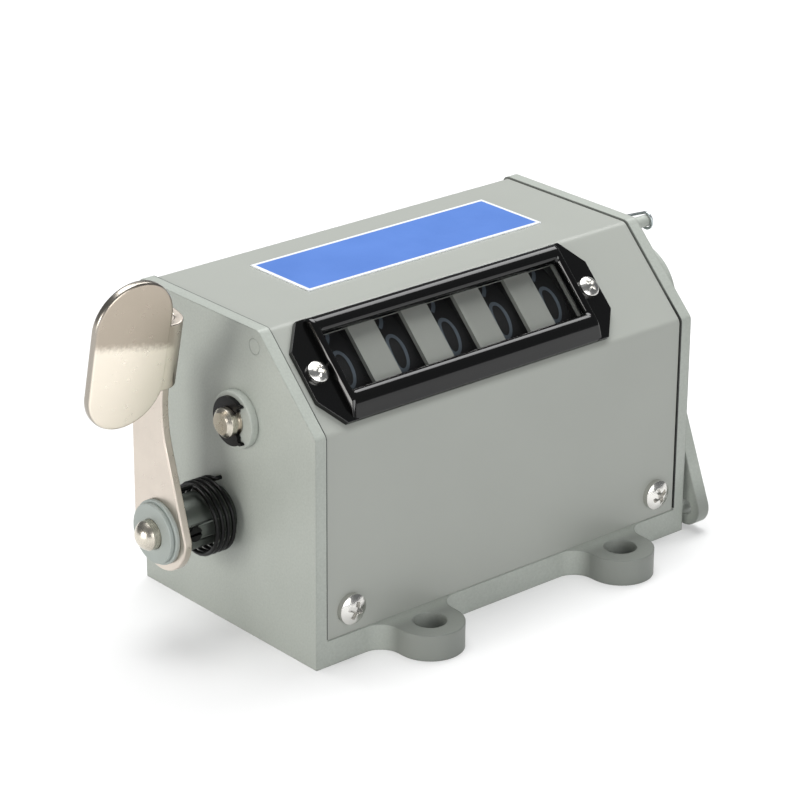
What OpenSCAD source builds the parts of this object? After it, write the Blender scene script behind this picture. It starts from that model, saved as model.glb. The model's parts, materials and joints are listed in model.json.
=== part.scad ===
// Mechanical pull counter: a five-figure stroke counter with a pull arm and a reset lever.
// Millimetres. X runs along the length (pull arm at +X), the windows face -Y, Z is up.
// The origin is the centre of the four mounting holes, on the underside of the base.

/* [Body] */
// Length over the outer faces of the end walls
body_l = 100; // [96:1:120]
// Depth of the end walls
body_d = 54.9; // [53:0.1:64]
// Height of the end walls
body_h = 65.5; // [63:0.5:74]
// Height and depth of the sloped cut along the top front edge
slope_cut = 17.1; // [15:0.1:18.5]
// Thickness of the end walls
wall_t = 2.8; // [2:0.1:3.4]
// Thickness of the base
base_t = 5.5; // [4:0.1:7]
// Rounding of the end walls' corners
corner_r = 1.6; // [0.5:0.1:2.5]
// Width of the ledge inside each end wall that carries the cover
ledge_w = 2.2; // [1.5:0.1:3]
// Thickness of that ledge
ledge_t = 2.4; // [1.5:0.1:4]

/* [Mounting lugs] */
// Distance between lug holes along the length
lug_span_x = 52; // [44:0.5:66]
// Distance between lug holes from front to back
lug_span_y = 66.4; // [62:0.2:76]
// Diameter of the lug holes
lug_hole_d = 6.8; // [4:0.1:8]
// Outer radius of a lug
lug_r = 7; // [6:0.1:9]
// Radius of the fillets that blend a lug into the base
lug_fillet = 4.5; // [2:0.1:6]

/* [Cover] */
// Thickness of the cover sheet
cover_t = 1; // [0.6:0.1:1.4]
// Depth of the cover's face below the end walls' edge
cover_recess = 0.3; // [0.1:0.1:0.8]
// Inner radius of the cover's bends
bend_r = 0.9; // [0.4:0.1:1.5]
// Distance of the cover screws from the end walls' inner faces
cover_screw_inset = 5.8; // [5.2:0.1:7]
// Height of the cover screws
cover_screw_z = 10.9; // [10:0.1:14]
// Thread diameter of the cover screws
cover_screw_d = 3; // [2:0.1:3.5]
// Diameter of the cover screws' heads
cover_head_d = 6.3; // [5:0.1:7]
// Length of the cover screws under the head
cover_screw_l = 7; // [5:0.5:9]
// Side of the cast boss behind each cover screw
screw_boss = 8; // [6:0.1:9]

/* [Windows and bezel] */
// Width of a window
window_w = 6.9; // [5:0.1:7.4]
// Height of a window along the slope
window_h = 13.2; // [11:0.1:13.4]
// Rise of the bezel's middle above the middle of the slope
view_rise = 0.35; // [0:0.05:0.6]
// Rise of the windows' middle above the bezel's middle
window_rise = 0.9; // [0.4:0.1:1]
// Distance of the bezel's middle to the left of the wheels' middle
view_left = 0.7; // [0:0.1:1]
// Length of the bezel's screw tab past the windows
bezel_tab = 7.8; // [7:0.1:8.5]
// Width of the bezel along the slope
bezel_w = 22.3; // [21:0.1:22.8]
// Thickness of the bezel's flange
bezel_t = 1.2; // [1.1:0.1:1.6]
// Height of the bezel's ridge above the cover
bezel_h = 3.2; // [2.6:0.1:5]
// Height of the bezel's inner edge above the cover
bezel_lip = 2; // [1.6:0.1:2.4]
// Width of the ridge along the long sides, inside its crest
bezel_rim = 2.2; // [1.4:0.1:2.4]
// Width of the ridge at the ends, inside its crest
bezel_end_rim = 1.3; // [1:0.1:1.6]
// Lap of the bezel over the windows' upper and lower edges
bezel_lap = 0.45; // [0.2:0.05:0.8]
// Corner cut of the bezel along its length
bezel_cut_x = 4.2; // [3:0.1:4.8]
// Corner cut of the bezel along its width
bezel_cut_y = 5.6; // [4:0.1:6.5]
// Width of the seat around the lens
lens_seat = 1.6; // [1:0.1:2]
// Thickness of the lens
lens_t = 1; // [0.6:0.1:1.2]
// Diameter of the bezel screws' heads
bezel_head_d = 4.4; // [3.5:0.1:5]
// Distance from a bezel screw's head to the bezel's end
bezel_screw_edge = 0.8; // [0.5:0.1:1.2]
// Thread diameter of the bezel screws
bezel_screw_d = 2.4; // [1.6:0.1:3]
// Length of the bezel screws under the head
bezel_screw_l = 4; // [3.5:0.1:4.5]

/* [Label plate] */
// Length of the label plate
label_l = 62; // [40:1:70]
// Width of the label plate
label_w = 18.5; // [12:0.5:20]
// Thickness of the label plate
label_t = 0.3; // [0.2:0.1:0.6]
// Middle of the label plate along the length
label_x = 2; // [-6:0.5:6]
// Middle of the label plate, behind the body's middle
label_y = 9.4; // [8:0.1:12]

/* [Drive] */
// Distance of the drive shaft behind the front of the body
shaft_from_front = 23.05; // [22.8:0.05:23.4]
// Distance of the drive shaft below the top of the body
shaft_from_top = 19.8; // [19.6:0.1:20.2]
// Diameter of the drive shaft
shaft_d = 6; // [5:0.1:6.4]
// Length of the shaft's left end outside the wall
shaft_end = 4.8; // [4:0.1:6]
// Diameter of the washer on the shaft's left end
shaft_washer_d = 11.8; // [10:0.1:13]
// Thickness of the washer on the left wall
shaft_washer_t = 1.8; // [1:0.1:2]
// Diameter of the washer behind the pull arm
arm_washer_d = 12; // [9:0.1:14]
// Thickness of the washers
washer_t = 1; // [0.6:0.1:1.4]
// Thickness of the spring clips
clip_t = 0.8; // [0.6:0.1:1]
// Length of the pull arm from shaft to end hole
arm_length = 46.6; // [30:0.2:47]
// Angle of the pull arm forward of straight down
arm_lean = 29.3; // [10:0.1:40]
// Thickness of the pull arm
arm_t = 3; // [2.2:0.1:4]
// Diameter of the pull arm's hub
arm_hub_d = 21.8; // [18:0.1:22]
// Outer face of the pull arm's hub, from the end wall
arm_hub_out = 8; // [6:0.1:10]
// End radius of the pull arm
arm_end_r = 4; // [3:0.1:4.2]
// Diameter of the hole in the arm's end
arm_hole_d = 3.4; // [2:0.1:4.5]
// Diameter of the screw in the arm's hub
arm_screw_d = 3; // [2:0.1:3.4]

/* [Return spring] */
// Wire diameter
return_wire = 0.6; // [0.4:0.05:0.7]
// Mean radius of the coils and the end loops
return_r = 1.7; // [1.65:0.05:1.8]
// Number of coils
return_coils = 5; // [3:1:6]
// Straight length between a loop's centre and the coils
return_leg = 7.5; // [7:0.1:8]
// Diameter of the posts that hold the loops
post_d = 2.5; // [2:0.1:2.6]
// Distance of the wall post behind the front of the body
post_from_front = 18.25; // [17.5:0.05:19]
// Distance of the wall post below the top of the body
post_from_top = 1.9; // [1.8:0.1:2.4]
// Length of the posts
post_l = 5; // [4.5:0.1:6]
// Radius at which the arm's ear holds the spring
ear_radius = 18.5; // [17.5:0.1:19]
// Angle of the ear above level, behind the shaft
ear_angle = 30; // [26:1:34]
// Outer radius of the ear
ear_r = 2.6; // [2:0.1:3]
// Thickness of the ear
ear_t = 2; // [1.5:0.1:2.2]

/* [Number wheels] */
// Diameter of a number wheel
wheel_d = 31.2; // [28:0.1:31.6]
// Room between the left end wall and the wheels
left_room = 9.5; // [8.8:0.1:10]
// Room between the right end wall and the wheels
right_room = 19.4; // [18:0.1:21]
// Free gaps between one wheel and the next, together
wheel_gap = 0.55; // [0.4:0.05:0.8]
// Thickness of a drum's rim
rim_t = 1.8; // [1:0.1:2.5]
// Thickness of a drum's web
web_t = 2; // [1:0.1:3]
// Thickness of the toothed rings
ring_t = 2; // [1.6:0.1:2.1]
// Thickness of the heart cams
heart_t = 1.6; // [1.2:0.1:1.7]
// Largest radius of a heart cam
heart_r = 6.4; // [5.6:0.1:6.6]
// Smallest radius of a heart cam
heart_low = 4; // [3.8:0.1:4.4]
// Thickness of the carry discs
carry_t = 1.8; // [1.4:0.1:1.9]
// Outer diameter of a wheel's hub
hub_d = 9.2; // [8.4:0.1:10]

/* [Transfer gearing] */
// Tooth size: pitch diameter over number of teeth
gear_module = 1.25; // [1.22:0.01:1.28]
// Diameter of the pinion shaft
pinion_shaft_d = 2.4; // [2:0.1:3]
// Distance of the cradle's pivot below the pinions
cradle_drop = 15; // [14:0.1:16]
// Diameter of the cradle's pivot rod
pivot_d = 4; // [3:0.1:5]
// Thickness of the cradle's arms
cradle_t = 2; // [1.5:0.1:3]

/* [Ratchet] */
// Outer radius of the ratchet
ratchet_r = 12.4; // [12:0.1:12.8]
// Depth of the ratchet teeth
ratchet_depth = 1.8; // [1.2:0.1:2]
// Thickness of the leaf springs
leaf_t = 0.5; // [0.3:0.1:0.7]

/* [Reset] */
// Distance of the reset shaft behind the front of the body
reset_from_front = 29.45; // [28.5:0.05:30]
// Distance of the reset shaft below the drive shaft
reset_below_shaft = 21.9; // [21.5:0.1:22.5]
// Diameter of the reset shaft
reset_shaft_d = 6; // [5:0.1:6.4]
// Outer face of the reset lever, from the end wall
lever_out = 15; // [13:0.1:18]
// Thickness of the reset lever
lever_t = 1.8; // [1.2:0.1:2.4]
// Radius of the reset lever's lower end
lever_end_r = 8; // [7.6:0.1:9]
// Width of the reset lever's neck
lever_neck = 9; // [7:0.1:10]
// Height of the neck above the reset shaft
lever_neck_z = 23.5; // [22:0.1:25]
// Width of the thumb pad
pad_w = 17.7; // [16:0.1:20]
// Height of the thumb pad
pad_h = 31.7; // [28:0.1:36]
// Height of the thumb pad's middle above the reset shaft
pad_z = 41.7; // [40:0.1:44]
// Distance of the thumb pad's middle in front of the reset shaft
pad_y = 8; // [7:0.1:9]
// Angle of the pad's top forward of upright
pad_lean = 12.7; // [8:0.1:16]
// Outer radius of the fold between the lever and its pad
fold_r = 3.3; // [2.8:0.1:3.8]
// Gap between the lever's outer face and the round of the pad
pad_gap = 2.5; // [2:0.1:4]
// Diameter of the bush behind the lever
bush_d = 11; // [9:0.1:12]
// Diameter of the washers on the lever
lever_washer_d = 13.2; // [11:0.1:14]
// Length of the shaft's domed end past the washers
dome_l = 3.4; // [3:0.1:5]
// Height of the round of the domed end
dome_h = 1.9; // [1.2:0.1:2.4]
// Travel of the reset lever, in degrees
reset_travel = 50; // [40:1:50]

/* [Reset spring] */
// Wire diameter
reset_wire = 0.9; // [0.7:0.05:1]
// Mean radius of the coils
reset_coil_r = 7.2; // [7:0.05:7.3]
// Number of coils
reset_coils = 4; // [2:1:4]
// Distance from coil to coil
reset_pitch = 1.36; // [1.3:0.02:1.5]

/* [Tie rod] */
// Diameter of the tie rod's ends
rod_d = 3.2; // [2.4:0.1:3.4]
// Diameter of the tie rod between the walls
rod_mid_d = 2; // [1.4:0.1:2.2]
// Distance of the tie rod behind the front of the body
rod_from_front = 18.25; // [17.9:0.05:18.6]
// Distance of the tie rod below the top of the body
rod_from_top = 3.5; // [3.4:0.1:3.6]

/* [Clearances] */
// Radial clearance of turning shafts
run_gap = 0.05; // [0.02:0.01:0.1]
// Radial clearance of fixed pins and screws
fixed_gap = 0.02; // [0.01:0.01:0.05]
// Gap between parts that lie side by side
side_gap = 0.1; // [0.05:0.05:0.2]
// Gap between the cover's edges and the walls
cover_gap = 0.25; // [0.1:0.05:0.4]
// Gap at a contact that opens and closes
touch_gap = 0.3; // [0.2:0.05:0.4]

/* [Hidden] */
$fn = 48;

// Colours
casting_grey = "#b4bcb4";
paint_grey = "#a9aca6";
gloss_black = "#141416";
bright_steel = "#c8c8c8";
dull_steel = "#8f9492";
nickel = "#cfc6b4";
dark_spring = "#1d1d1d";
zinc = "#b9c4c6";
brass = "#c9a45a";
label_blue = "#5c87de";
lens_clear = "#c8d2d680";

// Axes and faces
wall_x = body_l / 2;
inner_x = wall_x - wall_t;
cover_screw_x = inner_x - cover_screw_inset;
shaft_y = shaft_from_front - body_d / 2;
shaft_z = body_h - shaft_from_top;
reset_y = reset_from_front - body_d / 2;
reset_z = shaft_z - reset_below_shaft;
rod_y = rod_from_front - body_d / 2;
rod_z = body_h - rod_from_top;
post_y = post_from_front - body_d / 2;
post_z = body_h - post_from_top;
cover_inset = cover_recess + cover_t;
bore_boss_t = 3;
bore_boss_r = 6.2;
blind_end = 1.2;
clip_w = 1.7;
shaft_clip_w = 2.6;
groove_depth = 0.6;
merge = 0.5;

// Wheel stack, from the units at the right to the ten thousands at the left
wheel_count = 5;
digits = 10;
wheel_room = 2 * inner_x - left_room - right_room;
wheel_pitch = (wheel_room + carry_t + wheel_gap - side_gap) / wheel_count;
drum_w = wheel_pitch - ring_t - heart_t - carry_t - wheel_gap;
counter_x = left_room - inner_x + drum_w / 2 + (wheel_count - 1) / 2 * wheel_pitch;
view_x = counter_x - view_left;
function wheel_x(k) = counter_x + ((wheel_count - 1) / 2 - k) * wheel_pitch;
ring_x = drum_w / 2;
heart_x = ring_x + ring_t;
hub_right = heart_x + heart_t + side_gap;
hub_left = wheel_pitch - hub_right - side_gap;
stack_right = wheel_x(0) + hub_right + side_gap;
stack_left = wheel_x(wheel_count - 1) - ring_x - 2 * side_gap;

// Transfer gearing
ring_teeth = 20;
pinion_teeth = 8;
ring_pitch_r = gear_module * ring_teeth / 2;
pinion_pitch_r = gear_module * pinion_teeth / 2;
tooth_up = 0.88 * gear_module;
tooth_down = 1.08 * gear_module;
pinion_y = shaft_y + ring_pitch_r + pinion_pitch_r;
pinion_w = wheel_pitch - drum_w - 3 * side_gap;
carry_r = ring_pitch_r - tooth_up - touch_gap;
pivot_z = shaft_z - cradle_drop;

// Pawl and carrier
carrier_w = 3.5;
carrier_arm_w = 2.5;
carrier_r = 6.4;
carrier_x = stack_right + side_gap;
carrier_arm_x = carrier_x + (carrier_w - carrier_arm_w) / 2;
ratchet_x = wheel_x(0) + ring_x;
pawl_mount_r = 14.5;
pawl_mount_angle = 85;
pawl_tooth_angle = 50;
pawl_tip_gap = 1.6;
pawl_rivet_r = 0.8;

// Cradle, between the wheel stack and the end walls
collar_w = 2;
cradle_gap = 1;
bridge_reach = 6.4;
bridge_r = 1.9;
cradle_left = stack_left - collar_w - cradle_gap - cradle_t;
cradle_right = carrier_x + carrier_w + cradle_gap;

// Reset
lever_x = -wall_x - lever_out;
finger_w = 3;
finger_t = 1.2;
finger_x = heart_x + 2 * side_gap;
reset_reach = norm([shaft_y - reset_y, shaft_z - reset_z]);
reset_bearing = atan2(reset_y - shaft_y, shaft_z - reset_z);
finger_end_angle = reset_bearing + asin((heart_r + touch_gap + finger_w / 2) / reset_reach);
finger_angle = finger_end_angle + reset_travel;
finger_l = reset_reach + 1;
sleeve_r = 4.5;
cam_length = 17;
cam_angle = 21.5;
cam_r = 2;

// Helpers

// Extrudes a (Y, Z) shape from x0 to x1
module along_x(x0, x1) {
    translate([x0, 0, 0])
        rotate([90, 0, 90])
            linear_extrude(x1 - x0)
                children();
}

// Round bar along X
module bar_x(x0, x1, r, y, z) {
    translate([x0, y, z])
        rotate([0, 90, 0])
            cylinder(h = x1 - x0, r = r);
}

// Puts shapes made around Z onto an axis along X
module onto_axis(y, z) {
    translate([0, y, z])
        rotate([0, 90, 0])
            children();
}

// Frame of the slope: x along the length, y up the slope, z out of the cover's face
module on_slope() {
    low = section(cover_recess, 0)[1];
    high = section(cover_recess, 0)[2];
    mid = (low + high) / 2;
    translate([view_x, mid[0], mid[1]])
        rotate([45, 0, 0])
            translate([0, view_rise, 0])
                children();
}

function unit(v) = v / norm(v);

function polar(r, a) = r * [cos(a), sin(a)];

// Points of a fillet of radius r at corner b, between a and c
function fillet(a, b, c, r, steps) =
    let (u = unit(a - b), w = unit(c - b), half = acos(u * w) / 2)
    let (m = b + unit(u + w) * r / sin(half), p = b + u * r / tan(half), q = b + w * r / tan(half))
    let (start = atan2(p[1] - m[1], p[0] - m[0]), end = atan2(q[1] - m[1], q[0] - m[0]))
    let (turn = ((end - start + 540) % 360) - 180)
    [for (i = [0 : steps]) m + polar(r, start + turn * i / steps)];

// Outline with a radius at each corner; 0 leaves a corner sharp
function rounded(points, radii, steps = 5) =
    let (n = len(points))
    [for (i = [0 : n - 1]) each radii[i] <= 0
        ? [points[i]]
        : fillet(points[(i + n - 1) % n], points[i], points[(i + 1) % n], radii[i], steps)];

// Cross-section of the body, moved in by d, down to height z0
function section(d, z0) =
    let (k = sqrt(2) - 1, f = body_d / 2)
    [
        [-f + d, z0],
        [-f + d, body_h - slope_cut - k * d],
        [slope_cut - f + k * d, body_h - d],
        [f - d, body_h - d],
        [f - d, z0]
    ];

// Two discs joined by their common tangents
module link(a, ra, b, rb) {
    d = norm(b - a);
    base = atan2(b[1] - a[1], b[0] - a[0]);
    open = acos((ra - rb) / d);
    translate(a)
        circle(ra);
    translate(b)
        circle(rb);
    polygon([
        a + polar(ra, base + open),
        a + polar(ra, base - open),
        b + polar(rb, base - open),
        b + polar(rb, base + open)
    ]);
}

// Upright slot shape of full width w and full height h
module obround(w, h) {
    for (s = [-1, 1])
        translate([0, s * (h - w) / 2])
            circle(w / 2);
    square([w, h - w], center = true);
}

// Spur gear outline with the first tooth at angle 0
module gear_outline(teeth, pitch_r) {
    half = 90 / teeth * 0.78;
    tip = half * 0.55;
    root = half * 1.4;
    step = 360 / teeth;
    root_r = pitch_r - tooth_down;
    tip_r = pitch_r + tooth_up;
    polygon([for (i = [0 : teeth - 1]) each [
        polar(root_r, i * step - root),
        polar(pitch_r, i * step - half),
        polar(tip_r, i * step - tip),
        polar(tip_r, i * step + tip),
        polar(pitch_r, i * step + half),
        polar(root_r, i * step + root)
    ]]);
}

// Heart cam outline, lowest at angle 0
module heart_outline() {
    step = 10;
    polygon([for (a = [-180 : step : 179]) polar(heart_low + (heart_r - heart_low) * abs(a) / 180, a)]);
}

// Ratchet outline: each tooth's steep face looks to growing angles
module ratchet_outline() {
    step = 360 / digits;
    polygon([for (i = [0 : digits - 1]) each [
        polar(ratchet_r, pawl_tooth_angle + i * step),
        polar(ratchet_r - ratchet_depth, pawl_tooth_angle + i * step)
    ]]);
}

// Directions along a path, and side vectors carried along it without twist
function tangents(path) =
    let (n = len(path) - 1)
    [for (i = [0 : n]) unit(path[min(i + 1, n)] - path[max(i - 1, 0)])];

function sides(tangent, first) = [
    for (i = 0, v = first; i < len(tangent);
         i = i + 1, v = i < len(tangent) ? unit(v - (v * tangent[i]) * tangent[i]) : v) v
];

// One unbroken round wire along a path
module wire(path, r, first, facets = 6) {
    t = tangents(path);
    n = sides(t, unit(first - (first * t[0]) * t[0]));
    last = len(path) - 1;
    rings = [for (i = [0 : last], s = [0 : facets - 1])
        let (v = unit(n[i] - (n[i] * t[i]) * t[i]))
        path[i] + r * (cos(360 * s / facets) * v + sin(360 * s / facets) * cross(t[i], v))];
    skin = [for (i = [0 : last - 1], s = [0 : facets - 1])
        let (a = i * facets + s, b = i * facets + (s + 1) % facets)
        each [[a, a + facets, b], [b, a + facets, b + facets]]];
    caps = [for (s = [1 : facets - 2])
        each [[0, s, s + 1], [last * facets, last * facets + s + 1, last * facets + s]]];
    polyhedron(rings, concat(skin, caps));
}

// Least gap of a wire to itself, leaving out points within half a coil
function self_gap(path, d) =
    min([for (i = [0 : len(path) - 1], j = [i + 5 : 1 : len(path) - 1]) norm(path[i] - path[j])]) - d;

// Pan head on Z with its seat at z = 0 and a cross recess
module pan_head(d, h) {
    slot_w = d / 6;
    slot_l = d * 0.58;
    difference() {
        intersection() {
            cylinder(h = h, d = d);
            translate([0, 0, h - d * 0.95])
                sphere(d * 0.95);
        }
        for (a = [0, 90])
            rotate(a)
                translate([0, 0, h])
                    cube([slot_l, slot_w, h], center = true);
    }
}

// Housing

// One lug behind the body's middle, with fillets into the base
module lug() {
    hole_y = lug_span_y / 2;
    edge_y = body_d / 2;
    r = min(lug_fillet, hole_y - edge_y - merge);
    foot = lug_r + r + merge;
    difference() {
        union() {
            translate([0, hole_y])
                circle(lug_r);
            polygon(rounded(
                [
                    [-foot, edge_y - 1],
                    [-foot, edge_y],
                    [-lug_r, edge_y],
                    [-lug_r, hole_y],
                    [lug_r, hole_y],
                    [lug_r, edge_y],
                    [foot, edge_y],
                    [foot, edge_y - 1]
                ],
                [0, 0, r, 0, 0, r, 0, 0],
                10
            ));
        }
        translate([0, hole_y])
            circle(d = lug_hole_d);
    }
}

module end_wall() {
    lip = cover_inset + ledge_t;
    boss_x = inner_x - bore_boss_t;
    along_x(inner_x, wall_x)
        polygon(rounded(section(0, 0), [0, corner_r, corner_r, corner_r, 0]));
    along_x(inner_x - ledge_w, inner_x + merge)
        difference() {
            polygon(rounded(section(cover_inset, 0), [0, bend_r, bend_r, bend_r, 0]));
            polygon(section(lip, base_t));
        }
    for (p = [[shaft_y, shaft_z], [reset_y, reset_z], [pinion_y, pivot_z]])
        bar_x(boss_x, inner_x + merge, bore_boss_r, p[0], p[1]);
}

module screw_bosses() {
    depth = cover_screw_l - cover_t + 1.5;
    for (sx = [-1, 1], sy = [0, 1])
        mirror([0, sy, 0])
            translate([sx * cover_screw_x - screw_boss / 2, cover_inset - body_d / 2, base_t - 1])
                cube([screw_boss, depth, cover_screw_z + screw_boss / 2 - base_t + 1]);
}

// Block on the base that holds the foot of the click spring
click_h = 9;
click_w = 5;
click_d = 6;
click_y = shaft_y - ratchet_r - leaf_t - 0.2;
click_x0 = ratchet_x + side_gap;
click_x1 = ratchet_x + ring_t - 3 * side_gap;
click_screw_z = base_t + click_h / 2;
click_screw_d = 2;
click_screw_l = 4.5;

module click_block() {
    translate([(click_x0 + click_x1) / 2 - click_w / 2, click_y + leaf_t, base_t - 1])
        cube([click_w, click_d, click_h + 1]);
}

module frame() {
    rod_x = inner_x + blind_end;
    color(casting_grey)
        difference() {
            union() {
                translate([-wall_x, -body_d / 2, 0])
                    cube([body_l, body_d, base_t]);
                for (s = [0, 1])
                    mirror([s, 0, 0])
                        end_wall();
                linear_extrude(base_t)
                    for (sx = [-1, 1], sy = [0, 1])
                        mirror([0, sy])
                            translate([sx * lug_span_x / 2, 0])
                                lug();
                screw_bosses();
                click_block();
                bar_x(wall_x - 1, wall_x + post_l, post_d / 2, post_y, post_z);
            }
            bar_x(-wall_x - 1, wall_x + 1, shaft_d / 2 + run_gap, shaft_y, shaft_z);
            bar_x(-wall_x - 1, inner_x + blind_end, reset_shaft_d / 2 + run_gap, reset_y, reset_z);
            bar_x(-inner_x - blind_end, inner_x + blind_end, pivot_d / 2 + fixed_gap, pinion_y, pivot_z);
            bar_x(-wall_x - 1, rod_x, rod_d / 2 + fixed_gap, rod_y, rod_z);
            for (sx = [-1, 1], sy = [0, 1])
                mirror([0, sy, 0])
                    translate([sx * cover_screw_x, -body_d / 2, cover_screw_z])
                        rotate([-90, 0, 0])
                            cylinder(h = cover_inset + cover_screw_l, d = cover_screw_d + 2 * fixed_gap);
            translate([(click_x0 + click_x1) / 2, click_y, click_screw_z])
                rotate([-90, 0, 0])
                    cylinder(h = click_d - 1, d = click_screw_d + 2 * fixed_gap);
        }
}

module cover() {
    outer_r = bend_r + cover_t;
    outer = rounded(section(cover_recess, base_t), [0, outer_r, outer_r, outer_r, 0]);
    inner = rounded(section(cover_inset, base_t), [0, bend_r, bend_r, bend_r, 0]);
    back = [for (i = [len(inner) - 1 : -1 : 0]) inner[i]];
    color(paint_grey)
        difference() {
            along_x(cover_gap - inner_x, inner_x - cover_gap)
                polygon(concat(outer, back));
            on_slope()
                translate([0, 0, -2 * cover_t])
                    linear_extrude(3 * cover_t) {
                        for (k = [0 : wheel_count - 1])
                            translate([wheel_x(k) - view_x, window_rise])
                                square([window_w, window_h], center = true);
                        for (s = [-1, 1])
                            translate([s * bezel_screw_x, 0])
                                circle(d = bezel_screw_d + 2 * fixed_gap);
                    }
            for (sx = [-1, 1])
                translate([sx * cover_screw_x, 0, cover_screw_z])
                    rotate([90, 0, 0])
                        cylinder(h = body_d, d = cover_screw_d + 4 * side_gap, center = true);
        }
}

module cover_screws() {
    head_h = cover_head_d / 3;
    color(bright_steel)
        for (sx = [-1, 1], sy = [0, 1])
            mirror([0, sy, 0])
                translate([sx * cover_screw_x, cover_recess - body_d / 2, cover_screw_z])
                    rotate([90, 0, 0]) {
                        rotate(25 * sx)
                            pan_head(cover_head_d, head_h);
                        translate([0, 0, -cover_screw_l])
                            cylinder(h = cover_screw_l + 0.1, d = cover_screw_d);
                    }
}

opening_l = (wheel_count - 1) * wheel_pitch + window_w + 2 * side_gap;
opening_w = window_h - 2 * bezel_lap;
bezel_l = opening_l + 2 * bezel_tab;
bezel_screw_x = bezel_l / 2 - bezel_head_d / 2 - bezel_screw_edge;
rim_l = opening_l + 2 * bezel_end_rim;
rim_w = opening_w + 2 * bezel_rim;
foot_l = rim_l + bezel_end_rim;
foot_w = bezel_w - 4 * side_gap;
crest = 0.5;
crest_low = window_rise - (rim_w + crest) / 2;
crest_high = (foot_w - crest) / 2;
crest_mid = (crest_high + crest_low) / 2;

module bezel_outline() {
    l = bezel_l / 2;
    w = bezel_w / 2;
    cut = [
        [l, w - bezel_cut_y],
        [l - bezel_cut_x, w]
    ];
    polygon([
        cut[0],
        cut[1],
        [-cut[1][0], cut[1][1]],
        [-cut[0][0], cut[0][1]],
        -cut[0],
        -cut[1],
        [cut[1][0], -cut[1][1]],
        [cut[0][0], -cut[0][1]]
    ]);
}

// Thin slab from which a sloped form is drawn
module slab(l, w, y, z) {
    translate([0, y, z])
        linear_extrude(slab_t)
            square([l, w], center = true);
}

slab_t = 0.05;

module bezel() {
    seat = 2 * (lens_seat + side_gap);
    color(gloss_black)
        on_slope()
            difference() {
                union() {
                    linear_extrude(bezel_t)
                        bezel_outline();
                    hull() {
                        slab(foot_l, foot_w, 0, bezel_t - slab_t);
                        slab(rim_l + crest, crest_high - crest_low, crest_mid, bezel_h - slab_t);
                    }
                }
                hull() {
                    slab(opening_l, opening_w, window_rise, bezel_lip);
                    slab(rim_l - crest, rim_w - crest, window_rise, bezel_h);
                }
                translate([0, window_rise, -1])
                    linear_extrude(bezel_h + 1)
                        square([opening_l, opening_w], center = true);
                translate([0, window_rise, -1])
                    linear_extrude(lens_t + side_gap + 1)
                        square([opening_l + seat, opening_w + seat], center = true);
                for (s = [-1, 1])
                    translate([s * bezel_screw_x, 0, -1])
                        cylinder(h = bezel_t + 2, d = bezel_screw_d + 2 * fixed_gap);
            }
}

module window_lens() {
    color(lens_clear)
        on_slope()
            translate([0, window_rise])
                linear_extrude(lens_t)
                    square([opening_l + 2 * lens_seat, opening_w + 2 * lens_seat], center = true);
}

module bezel_screws() {
    color(bright_steel)
        on_slope()
            for (s = [-1, 1])
                translate([s * bezel_screw_x, 0, bezel_t]) {
                    rotate(30 * s)
                        pan_head(bezel_head_d, bezel_head_d / 3);
                    translate([0, 0, -bezel_screw_l])
                        cylinder(h = bezel_screw_l + 0.1, d = bezel_screw_d);
                }
}

module label_plate() {
    color(label_blue)
        translate([label_x - label_l / 2, label_y - label_w / 2, body_h - cover_recess])
            cube([label_l, label_w, label_t]);
}

module tie_rod() {
    color(dull_steel) {
        bar_x(-wall_x, -inner_x, rod_d / 2, rod_y, rod_z);
        bar_x(-inner_x - merge, inner_x + merge, rod_mid_d / 2, rod_y, rod_z);
        bar_x(inner_x, inner_x + blind_end - side_gap, rod_d / 2, rod_y, rod_z);
    }
}

// Drive

clip_in = shaft_d / 2 - groove_depth;
washer_x = -wall_x - shaft_washer_t;
clip_x = washer_x - side_gap - clip_t;

module clip_outline(bore_r, width) {
    gap_angle = 46;
    eye_r = width * 0.42;
    eye_at = bore_r + width * 0.75;
    difference() {
        union() {
            circle(bore_r + width);
            for (s = [-1, 1])
                translate(polar(eye_at, 180 + s * gap_angle))
                    circle(eye_r);
        }
        circle(bore_r);
        polygon([[0, 0], polar(4 * bore_r, 180 + gap_angle), polar(4 * bore_r, 180 - gap_angle)]);
        for (s = [-1, 1])
            translate(polar(eye_at, 180 + s * gap_angle))
                circle(eye_r * 0.45);
    }
}

module drive_shaft() {
    tip = 0.8;
    left = -wall_x - shaft_end;
    right = wall_x + arm_hub_out + 0.6;
    color(bright_steel)
        onto_axis(shaft_y, shaft_z)
            difference() {
                union() {
                    translate([0, 0, left])
                        cylinder(h = tip, r1 = shaft_d / 2 - tip, r2 = shaft_d / 2);
                    translate([0, 0, left + tip])
                        cylinder(h = right - left - 2 * tip, d = shaft_d);
                    translate([0, 0, right - tip])
                        cylinder(h = tip, r1 = shaft_d / 2, r2 = shaft_d / 2 - tip);
                }
                translate([0, 0, clip_x - side_gap])
                    difference() {
                        cylinder(h = clip_t + 2 * side_gap, d = shaft_d + 1);
                        translate([0, 0, -1])
                            cylinder(h = clip_t + 3, r = clip_in - fixed_gap);
                    }
            }
}

module ring_x(x0, x1, r, bore, y, z) {
    onto_axis(y, z)
        translate([0, 0, x0])
            difference() {
                cylinder(h = x1 - x0, r = r);
                translate([0, 0, -1])
                    cylinder(h = x1 - x0 + 2, r = bore);
            }
}

module shaft_washer() {
    color(dull_steel)
        ring_x(washer_x, -wall_x, shaft_washer_d / 2, shaft_d / 2 + run_gap, shaft_y, shaft_z);
}

module shaft_clip() {
    color(dark_spring)
        translate([0, shaft_y, shaft_z])
            along_x(clip_x, clip_x + clip_t)
                clip_outline(clip_in, shaft_clip_w);
}

module stack_collar() {
    color(brass)
        ring_x(stack_left - collar_w, stack_left, hub_d / 2 + 1, shaft_d / 2 + fixed_gap, shaft_y, shaft_z);
}

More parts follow.
